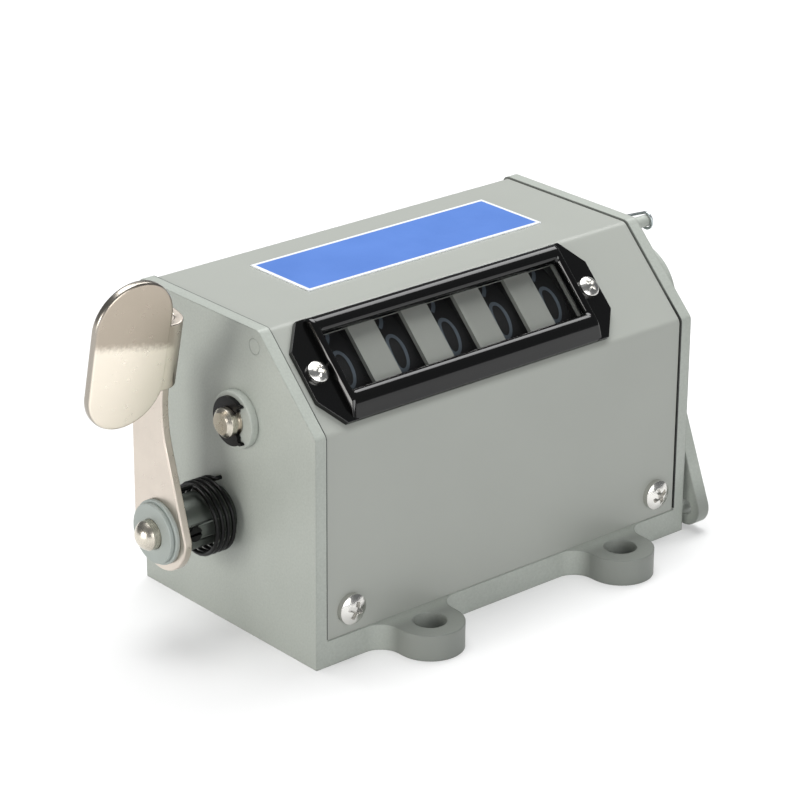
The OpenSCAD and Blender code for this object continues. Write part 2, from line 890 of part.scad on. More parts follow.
arm_x = wall_x + washer_t;
arm_screw_x = (arm_x + wall_x + arm_hub_out) / 2;
ear_x = arm_x + ear_t;
ear = polar(ear_radius, ear_angle);
spring_x = wall_x + post_l - return_wire / 2 - 0.4;

module pull_arm() {
    end = polar(arm_length, -90 - arm_lean);
    hub_r = arm_hub_d / 2;
    color(casting_grey)
        translate([0, shaft_y, shaft_z])
            difference() {
                union() {
                    along_x(arm_x, arm_x + arm_t)
                        link([0, 0], hub_r - 0.8, end, arm_end_r);
                    along_x(arm_x, ear_x)
                        link([0, 0], hub_r / 2, ear, ear_r);
                    bar_x(arm_x, wall_x + arm_hub_out, hub_r, 0, 0);
                    bar_x(ear_x - 1, wall_x + post_l, post_d / 2, ear[0], ear[1]);
                }
                bar_x(wall_x, wall_x + arm_hub_out + 1, shaft_d / 2 + fixed_gap, 0, 0);
                bar_x(wall_x, wall_x + arm_hub_out, arm_hole_d / 2, end[0], end[1]);
                translate([arm_screw_x, 0, 0])
                    cylinder(h = hub_r + 1, d = arm_screw_d + 2 * fixed_gap);
            }
}

module arm_washer() {
    color(dull_steel)
        ring_x(wall_x, wall_x + washer_t, arm_washer_d / 2, shaft_d / 2 + run_gap, shaft_y, shaft_z);
}

// Headless screw along Z with a slot, from the shaft out to just below the face
module grub_screw(d, from_r, to_r) {
    difference() {
        translate([0, 0, from_r])
            cylinder(h = to_r - from_r, d = d);
        translate([0, 0, to_r])
            cube([d + 1, d / 5, d / 2], center = true);
    }
}

module arm_screw() {
    color(dark_spring)
        translate([arm_screw_x, shaft_y, shaft_z])
            grub_screw(arm_screw_d, shaft_d / 2 + side_gap, arm_hub_d / 2 - 0.6);
}

// Return spring: loop, coils and loop as one wire, from the wall's post to the arm's ear
return_path =
    let (from = [post_y, post_z], to = [shaft_y, shaft_z] + ear)
    let (d2 = unit(to - from), e2 = [-d2[1], d2[0]], span = norm(to - from))
    let (d = [0, d2[0], d2[1]], e = [0, e2[0], e2[1]], x = [1, 0, 0], start = [spring_x, from[0], from[1]])
    let (pitch = (span - 2 * return_leg) / return_coils, turns = 8 * return_coils, loop = 240)
    concat(
        [start + return_r * (cos(loop) * e - sin(loop) * d)
            - return_wire * (sin(loop) * e + cos(loop) * d)],
        [for (a = [-loop : 40 : 0]) start + return_r * (cos(a) * e + sin(a) * d)],
        [for (i = [0 : turns]) start + (return_leg + pitch * i / 8) * d
            + return_r * (cos(45 * i) * e + sin(45 * i) * x)],
        [for (a = [0 : 40 : loop]) start + span * d + return_r * (cos(a) * e + sin(a) * d)],
        [start + span * d + return_r * (cos(loop) * e + sin(loop) * d)
            + return_wire * (cos(loop) * d - sin(loop) * e)]
    );

module return_spring() {
    echo(return_spring_gap = self_gap(return_path, return_wire));
    color(zinc)
        wire(return_path, return_wire / 2, [1, 0, 0]);
}

module pawl_carrier() {
    slit = 3 * leaf_t;
    color(dull_steel)
        translate([0, shaft_y, shaft_z])
            difference() {
                union() {
                    bar_x(carrier_x, carrier_x + carrier_w, carrier_r, 0, 0);
                    along_x(carrier_arm_x, carrier_arm_x + carrier_arm_w)
                        difference() {
                            link([0, 0], carrier_r - 1, pawl_mount, pawl_end);
                            pawl_strip(slit + leaf_t, -leaf_t - slit);
                        }
                }
                bar_x(carrier_x - 1, carrier_x + carrier_w + 1, shaft_d / 2 + fixed_gap, 0, 0);
                pawl_rivet_shank(fixed_gap);
            }
}

// Flat leaf from the carrier's tip to the ratchet tooth, in the shaft's own (Y, Z) frame
pawl_end = 2.6;
pawl_mount = polar(pawl_mount_r, pawl_mount_angle);
pawl_tooth = polar(ratchet_r - ratchet_depth / 2, pawl_tooth_angle + pawl_tip_gap);
pawl_along = unit(pawl_tooth - pawl_mount);

module pawl_strip(thick, lift) {
    across = [-pawl_along[1], pawl_along[0]];
    ends = [pawl_mount - pawl_end * pawl_along, pawl_tooth];
    polygon([
        ends[0] + lift * across,
        ends[1] + lift * across,
        ends[1] + (lift + thick) * across,
        ends[0] + (lift + thick) * across
    ]);
}

module pawl_rivet_shank(gap) {
    translate([carrier_arm_x + carrier_arm_w / 2, pawl_mount[0], pawl_mount[1]])
        rotate([atan2(pawl_along[1], pawl_along[0]) + 180, 0, 0])
            cylinder(h = 2 * pawl_end, r = pawl_rivet_r + gap, center = true);
}

module drive_pawl() {
    color(bright_steel)
        translate([0, shaft_y, shaft_z])
            difference() {
                along_x(ratchet_x + side_gap, carrier_arm_x + carrier_arm_w)
                    pawl_strip(leaf_t, -leaf_t);
                pawl_rivet_shank(fixed_gap);
            }
}

module pawl_rivet() {
    color(brass)
        translate([0, shaft_y, shaft_z])
            pawl_rivet_shank(0);
}

// Number wheels

// One number wheel: drum, toothed ring or plain seat, heart cam and carry disc
module number_wheel(k) {
    wheel_r = wheel_d / 2;
    last = wheel_count - 1;
    left = k == last ? ring_x + side_gap : hub_left;
    color(gloss_black)
        translate([wheel_x(k), shaft_y, shaft_z])
            difference() {
                union() {
                    ring_x(-ring_x, ring_x, wheel_r, wheel_r - rim_t, 0, 0);
                    bar_x(ring_x - web_t, ring_x, wheel_r - rim_t / 2, 0, 0);
                    bar_x(-left, hub_right, heart_low - 2 * side_gap, 0, 0);
                    bar_x(-ring_x, ring_x, hub_d / 2, 0, 0);
                    along_x(ring_x, heart_x)
                        if (k == 0)
                            circle(ratchet_seat_r);
                        else
                            rotate(180 / ring_teeth)
                                gear_outline(ring_teeth, ring_pitch_r);
                    along_x(heart_x, heart_x + heart_t)
                        rotate(180 + finger_end_angle)
                            heart_outline();
                    if (k < last)
                        along_x(-ring_x - carry_t, -ring_x)
                            carry_outline();
                }
                bar_x(-wheel_pitch, wheel_pitch, shaft_d / 2 + run_gap, 0, 0);
            }
}

ratchet_seat_r = heart_r + 0.8;

// Disc with the two short teeth that pass a carry to the next pinion
module carry_outline() {
    tooth_half = 4;
    circle(carry_r - 1.4);
    for (s = [-1, 1])
        rotate(-18 + s * 9)
            polygon([
                polar(carry_r - 2, -tooth_half),
                polar(carry_r, -tooth_half * 0.7),
                polar(carry_r, tooth_half * 0.7),
                polar(carry_r - 2, tooth_half)
            ]);
}

module units_wheel() {
    number_wheel(0);
}

module tens_wheel() {
    number_wheel(1);
}

module hundreds_wheel() {
    number_wheel(2);
}

module thousands_wheel() {
    number_wheel(3);
}

module ten_thousands_wheel() {
    number_wheel(4);
}

module ratchet_wheel() {
    color(brass)
        translate([0, shaft_y, shaft_z])
            along_x(ratchet_x, ratchet_x + ring_t)
                difference() {
                    ratchet_outline();
                    circle(ratchet_seat_r + fixed_gap);
                }
}

// Leaf from the base to the front of the ratchet, bent in under a tooth
click_tooth_angle = pawl_tooth_angle + 4 * 360 / digits + pawl_tip_gap;

module click_spring() {
    tooth = [shaft_y, shaft_z] + polar(ratchet_r - ratchet_depth + touch_gap, click_tooth_angle);
    knee = [click_y, tooth[1] - 6];
    color(bright_steel)
        difference() {
            along_x(click_x0, click_x1)
                polygon([
                    [click_y, base_t + 0.4],
                    [click_y + leaf_t, base_t + 0.4],
                    knee + [leaf_t, 0],
                    tooth,
                    tooth - [leaf_t, 0],
                    knee
                ]);
            translate([(click_x0 + click_x1) / 2, click_y, click_screw_z])
                rotate([90, 0, 0])
                    cylinder(h = 4, d = 1, center = true);
        }
}

module click_screw() {
    color(bright_steel)
        translate([(click_x0 + click_x1) / 2, click_y, click_screw_z])
            rotate([90, 0, 0]) {
                pan_head(2 * click_screw_d, click_screw_d * 0.6);
                translate([0, 0, -leaf_t])
                    cylinder(h = leaf_t + 0.1, d = 0.96);
                translate([0, 0, -click_screw_l])
                    cylinder(h = click_screw_l - leaf_t, d = click_screw_d);
            }
}

// Transfer gearing

module transfer_pinion(k) {
    x0 = wheel_x(k) + ring_x + 1.5 * side_gap;
    color(brass)
        translate([0, pinion_y, shaft_z])
            difference() {
                along_x(x0, x0 + pinion_w)
                    rotate(180)
                        gear_outline(pinion_teeth, pinion_pitch_r);
                bar_x(x0 - 1, x0 + pinion_w + 1, pinion_shaft_d / 2 + run_gap, 0, 0);
            }
}

module tens_pinion() {
    transfer_pinion(1);
}

module hundreds_pinion() {
    transfer_pinion(2);
}

module thousands_pinion() {
    transfer_pinion(3);
}

module ten_thousands_pinion() {
    transfer_pinion(4);
}

module pinion_shaft() {
    color(bright_steel)
        bar_x(cradle_left - 0.6, cradle_right + cradle_t + 0.6, pinion_shaft_d / 2, pinion_y, shaft_z);
}

module pinion_frame() {
    pivot = [pinion_y, pivot_z];
    bridge = pivot + polar(bridge_reach, 44);
    color(dull_steel)
        difference() {
            union() {
                for (x = [cradle_left, cradle_right])
                    along_x(x, x + cradle_t) {
                        link(pivot, pivot_d / 2 + 1.6, [pinion_y, shaft_z], pinion_shaft_d / 2 + 1);
                        link(pivot, pivot_d / 2 + 1.4, bridge, bridge_r);
                    }
                along_x(cradle_left, cradle_right + cradle_t)
                    translate(bridge)
                        circle(bridge_r);
            }
            bar_x(-body_l, body_l, pivot_d / 2 + run_gap, pinion_y, pivot_z);
            bar_x(-body_l, body_l, pinion_shaft_d / 2 + fixed_gap, pinion_y, shaft_z);
        }
}

module pivot_rod() {
    end = inner_x + blind_end - side_gap;
    color(bright_steel)
        bar_x(-end, end, pivot_d / 2, pinion_y, pivot_z);
}

// Reset

washers_x = lever_x - 2 * washer_t;
reset_seat_r = reset_shaft_d / 2 + fixed_gap;

module reset_shaft() {
    r = reset_shaft_d / 2;
    right = inner_x + blind_end - side_gap;
    dome_r = (r * r + dome_h * dome_h) / (2 * dome_h);
    color(bright_steel)
        onto_axis(reset_y, reset_z)
            difference() {
                union() {
                    translate([0, 0, washers_x - dome_l + dome_h])
                        cylinder(h = right - washers_x + dome_l - dome_h, r = r);
                    intersection() {
                        translate([0, 0, washers_x - dome_l])
                            cylinder(h = 2 * dome_h, r = r);
                        translate([0, 0, washers_x - dome_l + dome_r])
                            sphere(dome_r);
                    }
                }
                translate([0, 0, -reset_clip_x - clip_t - side_gap])
                    difference() {
                        cylinder(h = clip_t + 2 * side_gap, d = reset_shaft_d + 1);
                        translate([0, 0, -1])
                            cylinder(h = clip_t + 3, r = r - groove_depth - fixed_gap);
                    }
            }
}

reset_clip_x = inner_x - bore_boss_t - side_gap - clip_t;

module reset_clip() {
    color(dark_spring)
        translate([0, reset_y, reset_z])
            along_x(-reset_clip_x - clip_t, -reset_clip_x)
                clip_outline(reset_shaft_d / 2 - groove_depth, clip_w);
}

// Flat arm of the reset lever, around the reset shaft in (Y, Z)
module lever_outline() {
    low = pad_edge(-pad_low);
    high = pad_edge(pad_high);
    back = lever_end_r + 0.2;
    neck = back - lever_neck;
    circle(lever_end_r);
    polygon(rounded(
        [
            [-lever_end_r, 0],
            [neck, lever_neck_z],
            low + [0.6, -0.6],
            low,
            high,
            [back, lever_neck_z + shoulder_rise],
            [back, 0]
        ],
        [0, neck_r, pad_corner_r, 0, 0, shoulder_r, 0]
    ));
}

// Stretch of the pad's edge that is bent out of the arm
pad_low = 9.9;
pad_high = 4.6;
neck_r = 28;
shoulder_r = 9;
shoulder_rise = 6;
pad_corner_r = 1.6;

function pad_edge(v) = [
    fold_r * cos(pad_lean) - pad_y - v * sin(pad_lean),
    pad_z + fold_r * sin(pad_lean) + v * cos(pad_lean)
];

module thumb_pad() {
    out = pad_gap + pad_w / 2;
    bend_x = out + lever_t - fold_r;
    translate([lever_x - out, -pad_y, pad_z])
        rotate([90 + pad_lean, 0, 0]) {
            translate([0, 0, -lever_t])
                linear_extrude(lever_t) {
                    obround(pad_w, pad_h);
                    translate([0, -pad_low])
                        square([bend_x, pad_low + pad_high]);
                }
            translate([bend_x, -pad_low, -fold_r])
                rotate([-90, 0, 0])
                    linear_extrude(pad_low + pad_high)
                        intersection() {
                            difference() {
                                circle(fold_r);
                                circle(fold_r - lever_t);
                            }
                            translate([0, -fold_r])
                                square(fold_r);
                        }
        }
}

module reset_lever() {
    color(nickel)
        translate([0, reset_y, reset_z])
            difference() {
                union() {
                    along_x(lever_x, lever_x + lever_t)
                        lever_outline();
                    thumb_pad();
                }
                bar_x(lever_x - 1, lever_x + lever_t + 1, reset_seat_r, 0, 0);
            }
}

module lever_washer() {
    color(dull_steel)
        ring_x(lever_x - washer_t, lever_x, lever_washer_d / 2, reset_seat_r, reset_y, reset_z);
}

module end_washer() {
    color(zinc)
        ring_x(washers_x, lever_x - washer_t, lever_washer_d / 2 - 0.5, reset_seat_r, reset_y, reset_z);
}

bush_screw_x = lever_x + lever_t + 2.6;
bush_screw_d = 3;

module reset_bush() {
    color(dull_steel)
        difference() {
            ring_x(lever_x + lever_t, -wall_x - touch_gap, bush_d / 2, reset_seat_r, reset_y, reset_z);
            translate([bush_screw_x, reset_y, reset_z])
                rotate([90, 0, 0])
                    cylinder(h = bush_d, d = bush_screw_d + 2 * fixed_gap);
        }
}

module bush_screw() {
    color(dark_spring)
        translate([bush_screw_x, reset_y, reset_z])
            rotate([90, 0, 0])
                grub_screw(bush_screw_d, reset_shaft_d / 2 + side_gap, bush_d / 2 + 0.3);
}

// Torsion spring: straight from the wall, round the bush, straight to the lever
reset_path =
    let (wall = -wall_x, lever = lever_x + lever_t, first = wall - reset_wire - 0.5)
    let (turns = 8 * reset_coils, coil_end = first - reset_coils * reset_pitch)
    [for (s = concat(
        [[wall, 0], [wall - reset_wire, 0]],
        [for (i = [0 : turns]) [first - reset_pitch * i / 8, 45 * i]],
        [[coil_end - 0.5, turns * 45], [lever + reset_wire, turns * 45], [lever, turns * 45]]
    )) [s[0], reset_y + reset_coil_r * sin(s[1]), reset_z + reset_coil_r * cos(s[1])]];

module reset_spring() {
    echo(reset_spring_gap = self_gap(reset_path, reset_wire));
    color(dark_spring)
        wire(reset_path, reset_wire / 2, [0, 0, 1]);
}

module reset_hammers() {
    left = wheel_x(wheel_count - 1) + heart_x - 1;
    right = wheel_x(0) + heart_x + heart_t + 1;
    color(dull_steel)
        translate([0, reset_y, reset_z])
            difference() {
                union() {
                    bar_x(left, right, sleeve_r, 0, 0);
                    for (k = [0 : wheel_count - 1])
                        along_x(wheel_x(k) + finger_x, wheel_x(k) + finger_x + finger_t)
                            rotate(finger_angle)
                                translate([-finger_w / 2, 0])
                                    square([finger_w, finger_l]);
                }
                bar_x(left - 1, right + 1, reset_seat_r, 0, 0);
            }
}

module release_cam() {
    color(dull_steel)
        translate([0, reset_y, reset_z])
            difference() {
                along_x(cradle_right, cradle_right + cradle_t)
                    link([0, 0], sleeve_r + 0.5, polar(cam_length - cam_r, 90 + cam_angle), cam_r);
                bar_x(0, body_l, reset_seat_r, 0, 0);
            }
}

frame();
cover();
cover_screws();
bezel();
window_lens();
bezel_screws();
label_plate();
tie_rod();
drive_shaft();
shaft_washer();
shaft_clip();
stack_collar();
pull_arm();
arm_washer();
arm_screw();
return_spring();
pawl_carrier();
drive_pawl();
pawl_rivet();
units_wheel();
tens_wheel();
hundreds_wheel();
thousands_wheel();
ten_thousands_wheel();
ratchet_wheel();
click_spring();
click_screw();
tens_pinion();
hundreds_pinion();
thousands_pinion();
ten_thousands_pinion();
pinion_shaft();
pinion_frame();
pivot_rod();
reset_shaft();
reset_lever();
lever_washer();
end_washer();
reset_bush();
bush_screw();
reset_spring();
reset_hammers();
release_cam();
reset_clip();
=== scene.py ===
"""Mechanical pull counter: looks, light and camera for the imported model. Metres; X length, -Y front, Z up."""
import json
import math

import bmesh
import bpy
from mathutils import Matrix, Vector


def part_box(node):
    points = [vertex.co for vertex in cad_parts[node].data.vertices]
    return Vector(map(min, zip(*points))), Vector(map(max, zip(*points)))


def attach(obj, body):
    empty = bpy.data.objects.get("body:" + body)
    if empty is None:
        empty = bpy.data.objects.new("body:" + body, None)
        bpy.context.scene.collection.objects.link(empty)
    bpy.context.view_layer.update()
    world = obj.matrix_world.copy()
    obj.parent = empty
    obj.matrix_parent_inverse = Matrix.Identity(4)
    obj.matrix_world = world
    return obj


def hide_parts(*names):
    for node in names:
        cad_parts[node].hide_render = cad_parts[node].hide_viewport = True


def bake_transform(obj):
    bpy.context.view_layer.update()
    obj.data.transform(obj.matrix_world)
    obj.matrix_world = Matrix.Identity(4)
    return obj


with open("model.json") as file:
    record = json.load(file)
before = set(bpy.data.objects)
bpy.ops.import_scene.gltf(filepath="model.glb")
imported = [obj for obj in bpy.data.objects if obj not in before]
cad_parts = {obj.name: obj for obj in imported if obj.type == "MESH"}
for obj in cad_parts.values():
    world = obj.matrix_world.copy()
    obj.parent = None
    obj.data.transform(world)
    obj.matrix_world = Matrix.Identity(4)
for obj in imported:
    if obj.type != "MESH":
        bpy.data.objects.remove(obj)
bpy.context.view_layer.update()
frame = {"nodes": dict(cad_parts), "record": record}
NODES = frame["nodes"]
MM = 0.001

# Sizes shared with the solids, in millimetres; an axis or a pin is given as (Y, Z)
SHAFT = (-4.4, 45.7)
RESET = (2.0, 23.8)
POST = (-9.2, 63.6)
EAR_R, EAR_ANGLE = 18.5, math.radians(30)
EAR = (SHAFT[0] + EAR_R * math.cos(EAR_ANGLE), SHAFT[1] + EAR_R * math.sin(EAR_ANGLE))
WHEEL_X = {"units": 20.3, "tens": 6.75, "hundreds": -6.8, "thousands": -20.35, "ten_thousands": -33.9}
WHEEL_R = 15.6
LEFT_WALL_X = -50.0
LEVER_X, LEVER_T = -65.0, 1.8
PAD_LEAN = math.radians(12.7)
BEZEL_MID = (-7.5, -18.688, 56.738)
BEZEL_RISE = 0.35

# Printed figures, in millimetres and degrees
FIGURE_H, FIGURE_W = 8.3, 4.2
FIGURE_RAISE, FIGURE_SINK = 0.06, 0.1
FIGURE_ANGLE, FIGURE_STEP = 141.5, 36
FIGURE_SHIFT = 0.05


# Materials

class Mat:
    """A node material built round one Principled shader."""

    def __init__(self, name, **values):
        self.mat = bpy.data.materials.new(name)
        self.mat.use_nodes = True
        self.tree = self.mat.node_tree
        self.shader = self.tree.nodes["Principled BSDF"]
        for key, value in values.items():
            self.shader.inputs[key.replace("_", " ")].default_value = value
        source = self.tree.nodes.new("ShaderNodeTexCoord")
        self.coords, self.normal = source.outputs["Object"], source.outputs["Normal"]

    def node(self, kind, **values):
        n = self.tree.nodes.new("ShaderNode" + kind)
        for key, value in values.items():
            if key in n.inputs:
                n.inputs[key].default_value = value
            else:
                setattr(n, key, value)
        return n

    def link(self, a, b):
        self.tree.links.new(a, b)

    def noise(self, scale, detail=3.0, stretch=None):
        n = self.node("TexNoise", Scale=scale, Detail=detail)
        source = self.coords
        if stretch:
            m = self.node("Mapping")
            m.inputs["Scale"].default_value = stretch
            self.link(self.coords, m.inputs["Vector"])
            source = m.outputs["Vector"]
        self.link(source, n.inputs["Vector"])
        return n.outputs["Fac"]

    def math(self, operation, *values):
        """One Math node; each value is a number or a socket."""
        n = self.node("Math", operation=operation)
        for socket, value in zip(n.inputs, values):
            if isinstance(value, (int, float)):
                socket.default_value = value
            else:
                self.link(value, socket)
        return n.outputs[0]

    def span(self, value, start, stop, low=0.0, high=1.0, smooth=True):
        """The value's place between start and stop, as a number from low to high."""
        n = self.node("MapRange", interpolation_type="SMOOTHSTEP" if smooth else "LINEAR")
        for key, number in (("From Min", start), ("From Max", stop), ("To Min", low), ("To Max", high)):
            n.inputs[key].default_value = number
        self.link(value, n.inputs["Value"])
        return n.outputs["Result"]

    def mix(self, fac, a, b):
        """A colour between a and b; each is a colour or a socket."""
        n = self.node("Mix", data_type="RGBA")
        self.link(fac, n.inputs["Factor"])
        for key, colour in (("A", a), ("B", b)):
            if isinstance(colour, tuple):
                n.inputs[key].default_value = (*colour, 1)
            else:
                self.link(colour, n.inputs[key])
        return n.outputs["Result"]

    def axes(self):
        """The X, Y and Z sockets of the place on the object."""
        n = self.node("SeparateXYZ")
        self.link(self.coords, n.inputs["Vector"])
        return n.outputs["X"], n.outputs["Y"], n.outputs["Z"]

    def ramp(self, fac, stops):
        r = self.node("ValToRGB")
        while len(r.color_ramp.elements) < len(stops):
            r.color_ramp.elements.new(0.5)
        for e, (at, colour) in zip(r.color_ramp.elements, stops):
            e.position = at
            e.color = (*colour, 1)
        self.link(fac, r.inputs["Fac"])
        return r.outputs["Color"]

    def colour(self, out):
        self.link(out, self.shader.inputs["Base Color"])

    def rough(self, fac, low, high):
        self.link(self.span(fac, 0.0, 1.0, low, high, smooth=False), self.shader.inputs["Roughness"])

    def bump(self, fac, strength, distance, edge=0.0):
        b = self.node("Bump", Strength=strength, Distance=distance)
        if edge:
            soft = self.node("Bevel", Radius=edge, samples=6)
            self.link(soft.outputs["Normal"], b.inputs["Normal"])
        self.link(fac, b.inputs["Height"])
        self.link(b.outputs["Normal"], self.shader.inputs["Normal"])


def shade(colour, k):
    return tuple(min(1.0, c * k) for c in colour)


def painted(name, colour, low, high, grain, depth, spread=0.06, **values):
    """Enamel: soft tone changes, uneven gloss and a fine surface grain."""
    m = Mat(name, **values)
    m.colour(m.ramp(m.noise(45, 4), [(0.3, shade(colour, 1 - spread)), (0.7, shade(colour, 1 + spread))]))
    m.rough(m.noise(160, 5), low, high)
    m.bump(m.noise(grain, 4), 0.35, depth)
    return m.mat


def metal(name, colour, low, high, stretch=(1, 1, 1), grain=900, depth=1.5e-5, spread=0.08):
    """Bare or plated metal with drawn grain and slight stains."""
    m = Mat(name, Metallic=1.0)
    m.colour(m.ramp(m.noise(70, 5), [(0.3, shade(colour, 1 - spread)), (0.7, shade(colour, 1 + spread))]))
    fine = m.noise(grain, 4, stretch)
    m.rough(fine, low, high)
    m.bump(fine, 0.25, depth)
    return m.mat


def label_material():
    """Blue enamelled foil with a white line round the edge."""
    line = 0.75 * MM
    low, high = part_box("label_plate")
    m = Mat("label_print")
    inset = []
    for place, a, b in zip(m.axes()[:2], low, high):
        off = m.math("ABSOLUTE", m.math("SUBTRACT", place, (a + b) / 2))
        inset.append(m.math("SUBTRACT", (b - a) / 2, off))
    near = m.math("LESS_THAN", m.math("MINIMUM", *inset), line)
    field = m.ramp(m.noise(60, 4), [(0.3, (0.082, 0.19, 0.55)), (0.7, (0.10, 0.22, 0.61))])
    m.colour(m.mix(near, field, (0.80, 0.82, 0.84)))
    m.rough(m.noise(200, 4), 0.28, 0.42)
    m.bump(m.noise(900, 3), 0.2, 1e-5)
    return m.mat


def nickel_material():
    """Warm satin plating; the thumb pad carries a painted reflection, bright below and duller above, and
    painted shade on its rim.
    """
    # Colours of the painted reflection on the pad's face (light below, dark above) and of the painted shade on
    # its rim
    pad_reflect_light, pad_reflect_dark, rim = (0.95, 0.87, 0.75), (0.46, 0.40, 0.33), (0.36, 0.33, 0.29)
    reflection_step_low, reflection_step_high, reflection_step_tilt, ragged = 48.8 * MM, 51.2 * MM, 0.23, 0.9 * MM
    pad_start, pad_full = (LEVER_X - 0.6) * MM, (LEVER_X - 2.6) * MM
    m = Mat("nickel_plate", Metallic=1.0)
    x, _, z = m.axes()
    wave = m.span(m.noise(1400, 4), 0.0, 1.0, -ragged, ragged, smooth=False)
    height = m.math("ADD", m.math("MULTIPLY_ADD", x, reflection_step_tilt, z), wave)
    # Painted reflection: the pad's face steps from light below to dark above, along a tilted, ragged line
    pad_painted_reflection = m.ramp(m.span(height, reflection_step_low, reflection_step_high), [(0.0, pad_reflect_light), (1.0, pad_reflect_dark)])
    # Painted shade on the pad's rim: faces turned away from the pad's face take the darker rim colour
    facing = m.node("VectorMath", operation="DOT_PRODUCT")
    facing.inputs[1].default_value = (0, -math.cos(PAD_LEAN), -math.sin(PAD_LEAN))
    m.link(m.normal, facing.inputs[0])
    flat = m.span(m.math("ABSOLUTE", facing.outputs["Value"]), 0.55, 0.98)
    arm = m.ramp(m.noise(300, 3), [(0.3, (0.60, 0.54, 0.475)), (0.7, (0.64, 0.575, 0.505))])
    m.colour(m.mix(m.span(x, pad_start, pad_full), arm, m.mix(flat, rim, pad_painted_reflection)))
    m.rough(m.noise(600, 4), 0.24, 0.34)
    return m.mat


def casting_material():
    """Grey-green enamel over a fine cast grain, with painted shade that darkens the lugs and the joint at the
    cover's ends.
    """
    paint, lug_painted_shade = (0.384, 0.410, 0.374), 0.53
    joint_shade_low, joint_shade_high = (0.03, 0.032, 0.03), (0.15, 0.16, 0.145)
    low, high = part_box("cover")
    half = (high[1] - low[1]) / 2
    m = Mat("casting")
    x, y, z = m.axes()
    mottle = m.math("MULTIPLY", m.math("ADD", m.noise(45, 4), m.noise(2200, 2)), 0.5)
    tone = m.ramp(mottle, [(0.35, shade(paint, 0.92)), (0.65, shade(paint, 1.08))])
    # Painted shade: the lugs beyond the cover's front and back take a darker colour
    away = m.math("ABSOLUTE", m.math("SUBTRACT", y, (low[1] + high[1]) / 2))
    tone = m.mix(m.span(away, half + 0.8 * MM, half + 5 * MM), tone, shade(paint, lug_painted_shade))
    # Painted shade in the joint at the cover's ends, darkest low down and lighter above
    inside = m.math("LESS_THAN", m.math("ABSOLUTE", x), high[0] + 0.45 * MM)
    above = m.math("GREATER_THAN", z, low[2] + 0.4 * MM)
    gap = m.ramp(m.span(z, 50 * MM, 54 * MM, smooth=False), [(0.0, joint_shade_low), (1.0, joint_shade_high)])
    m.colour(m.mix(m.math("MULTIPLY", inside, above), tone, gap))
    m.rough(m.noise(160, 5), 0.36, 0.54)
    m.bump(m.noise(1500, 4), 0.35, 7e-5, edge=0.5 * MM)
    return m.mat


def lens_material():
    """Clear plate, mostly see-through, with a soft sheen."""
    m = Mat("clear_lens", Base_Color=(0.02, 0.02, 0.02, 1), IOR=1.49, Alpha=0.12)
    m.rough(m.noise(120, 4), 0.02, 0.09)
    m.mat.surface_render_method = "BLENDED"
    return m.mat


M = {
    "casting": casting_material(),
    "cover_paint": painted("cover_paint", (0.37, 0.385, 0.355), 0.32, 0.40, 500, 3e-6, 0.015,
                           Specular_IOR_Level=0.25),
    "black_moulding": painted("black_moulding", (0.002, 0.002, 0.002), 0.07, 0.14, 500, 3e-6, 0.2),
    "wheel_moulding": painted("wheel_moulding", (0.006, 0.006, 0.007), 0.42, 0.6, 1200, 2e-5, 0.2),
    "figure_print": painted("figure_print", (0.115, 0.145, 0.175), 0.4, 0.55, 900, 1e-5, 0.04),
    "clear_lens": lens_material(),
    "label_print": label_material(),
    "bright_screw": metal("bright_screw", (0.72, 0.71, 0.68), 0.16, 0.30, (1, 1, 1), 700, 1e-5),
    "bright_steel": metal("bright_steel", (0.62, 0.58, 0.50), 0.20, 0.36, (18, 1, 1), 300, 1e-5),
    "dull_steel": painted("dull_steel", (0.34, 0.375, 0.355), 0.40, 0.58, 900, 2e-5, 0.06, Metallic=0.2),
    "dark_steel": metal("dark_steel", (0.10, 0.11, 0.10), 0.35, 0.5),
    "black_steel": painted("black_steel", (0.002, 0.002, 0.002), 0.26, 0.42, 900, 1e-5, 0.2,
                           Specular_IOR_Level=0.2),
    "zinc_plate": metal("zinc_plate", (0.52, 0.57, 0.58), 0.28, 0.45),
    "leaf_steel": metal("leaf_steel", (0.55, 0.55, 0.54), 0.22, 0.36),
    "brass": metal("brass", (0.62, 0.43, 0.16), 0.24, 0.38),
    "nickel_plate": nickel_material(),
}

SLOTS = {row["node"]: row["material_slot"] for row in frame["record"]["subparts"]}


def set_material(obj, slot):
    obj.data.materials.clear()
    obj.data.materials.append(M[slot])


# Width of the soft edges on the solids, in millimetres; other nodes keep theirs sharp
EDGES = {
    "cover_screws": 0.14, "bezel_screws": 0.12, "label_plate": 0.05, "shaft_washer": 0.18,
    "lever_washer": 0.18, "end_washer": 0.2, "drive_shaft": 0.2, "reset_bush": 0.25, "arm_washer": 0.15,
}
WELD = 2e-6


def soften(obj, width):
    """Round the edges sharper than 32 degrees."""
    bevel = obj.modifiers.new("edges", "BEVEL")
    bevel.width = width * MM
    bevel.segments = 3
    bevel.limit_method = "ANGLE"
    bevel.angle_limit = math.radians(32)
    bevel.harden_normals = True


for name, obj in NODES.items():
    set_material(obj, SLOTS[name])
    if name in EDGES:
        obj.modifiers.new("weld", "WELD").merge_threshold = WELD
        soften(obj, EDGES[name])


# Pieces made here

def add_mesh(name, verts, faces, slot, smooth=True):
    """A new piece from points in millimetres."""
    mesh = bpy.data.meshes.new(name)
    mesh.from_pydata([Vector(v) * MM for v in verts], [], faces)
    mesh.validate()
    for p in mesh.polygons:
        p.use_smooth = smooth
    obj = bpy.data.objects.new(name, mesh)
    bpy.context.scene.collection.objects.link(obj)
    set_material(obj, slot)
    return obj


